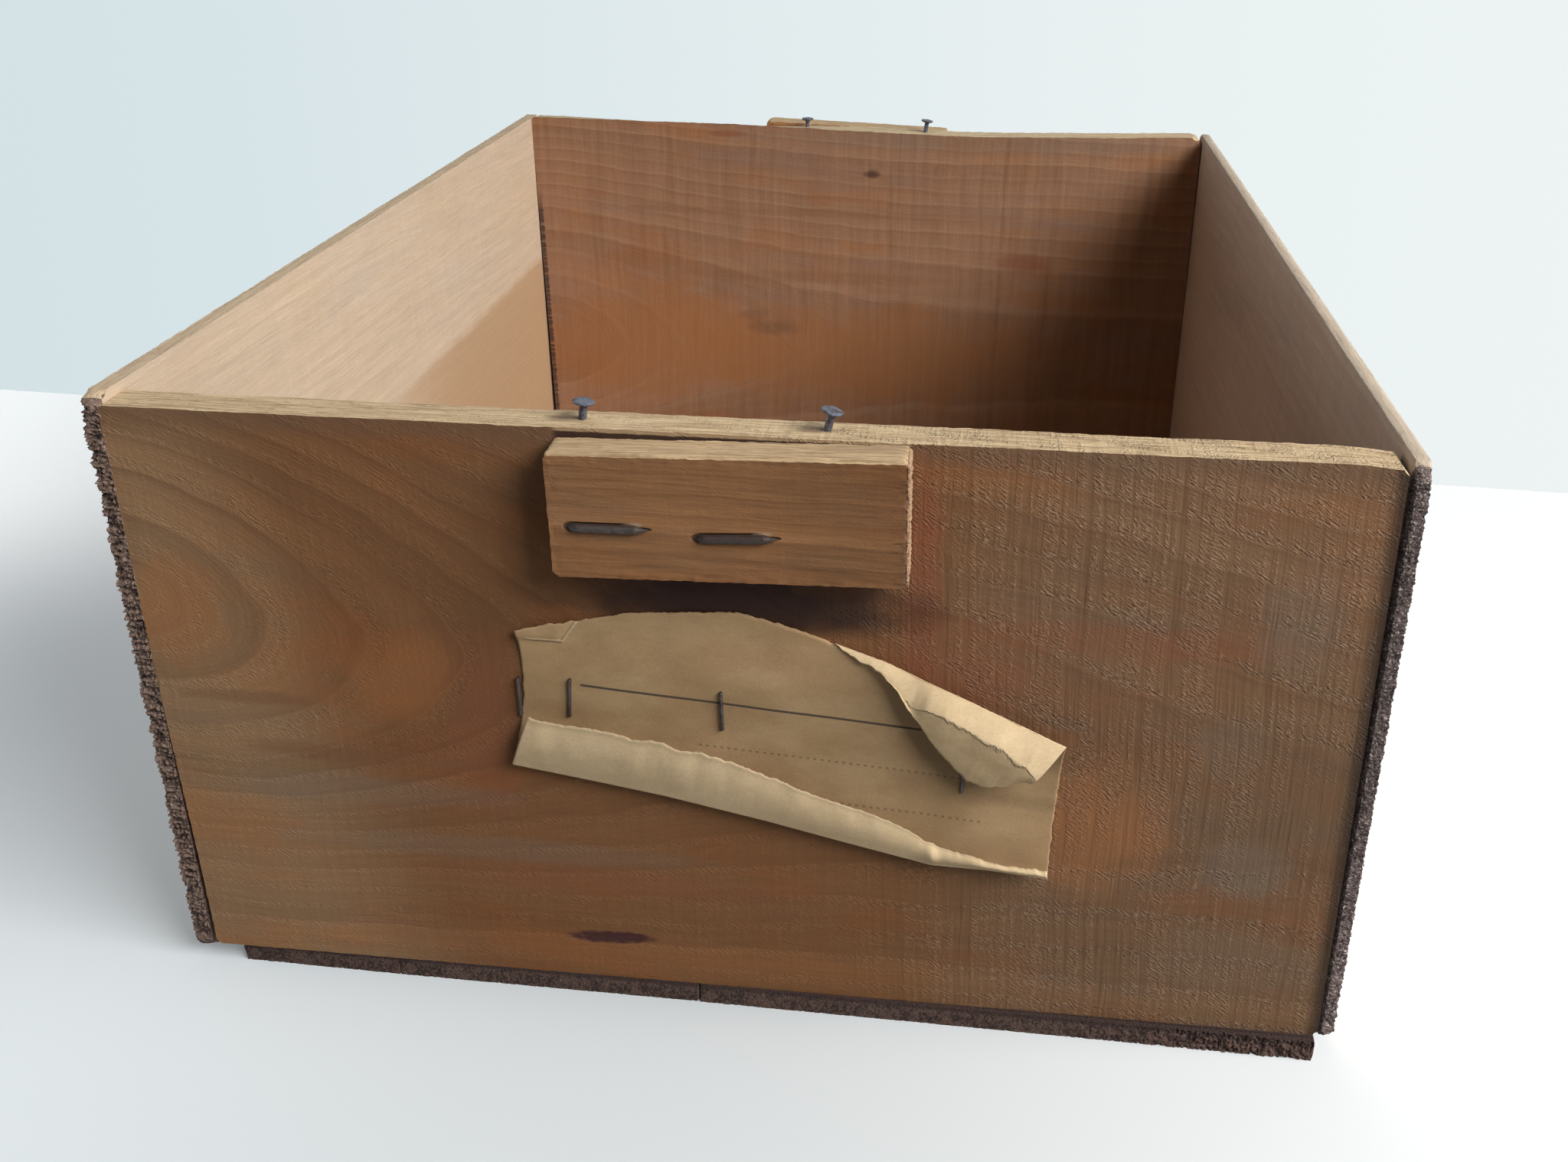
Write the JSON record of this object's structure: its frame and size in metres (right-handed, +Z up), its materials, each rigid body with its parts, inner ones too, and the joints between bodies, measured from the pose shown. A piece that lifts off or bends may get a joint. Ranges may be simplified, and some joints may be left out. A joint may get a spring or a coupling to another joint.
{
  "type": "wooden crate",
  "caption": "Open nailed pine crate: thick end boards, thin side boards, plank floor, a handle block on each end held by bent-over nails, and a torn, curled paper label.",
  "frame": {"origin": "middle of the crate's footprint, on the underside of its bottom boards", "axes": "+X to the right seen from the end with the label, +Y from that end to the other end, +Z up"},
  "size_m": [0.3122, 0.4252, 0.1722],
  "materials": {
    "end_wood": "rough-sawn, weathered, unfinished pine",
    "side_wood": "thin sawn pine, rough end grain",
    "bottom_wood": "sawn pine, darkened end grain",
    "cleat_wood": "sawn pine with torn fibres",
    "nail_steel": "dull, oxidised wire nail",
    "paper": "aged, torn paper",
    "staple_steel": "tarnished wire"
  },
  "bodies": {
    "root": {"front_end_board": "end_wood", "back_end_board": "end_wood", "left_side_board": "side_wood", "right_side_board": "side_wood", "bottom_board_left": "bottom_wood", "bottom_board_middle": "bottom_wood", "bottom_board_right": "bottom_wood", "front_cleat": "cleat_wood", "back_cleat": "cleat_wood", "front_cleat_nails": "nail_steel", "back_cleat_nails": "nail_steel", "front_lid_nails": "nail_steel", "back_lid_nails": "nail_steel", "front_left_side_nails": "nail_steel", "front_right_side_nails": "nail_steel", "back_left_side_nails": "nail_steel", "back_right_side_nails": "nail_steel", "bottom_front_nails": "nail_steel", "bottom_back_nails": "nail_steel", "label": "paper", "label_staples": "staple_steel"}
  },
  "joints": []
}
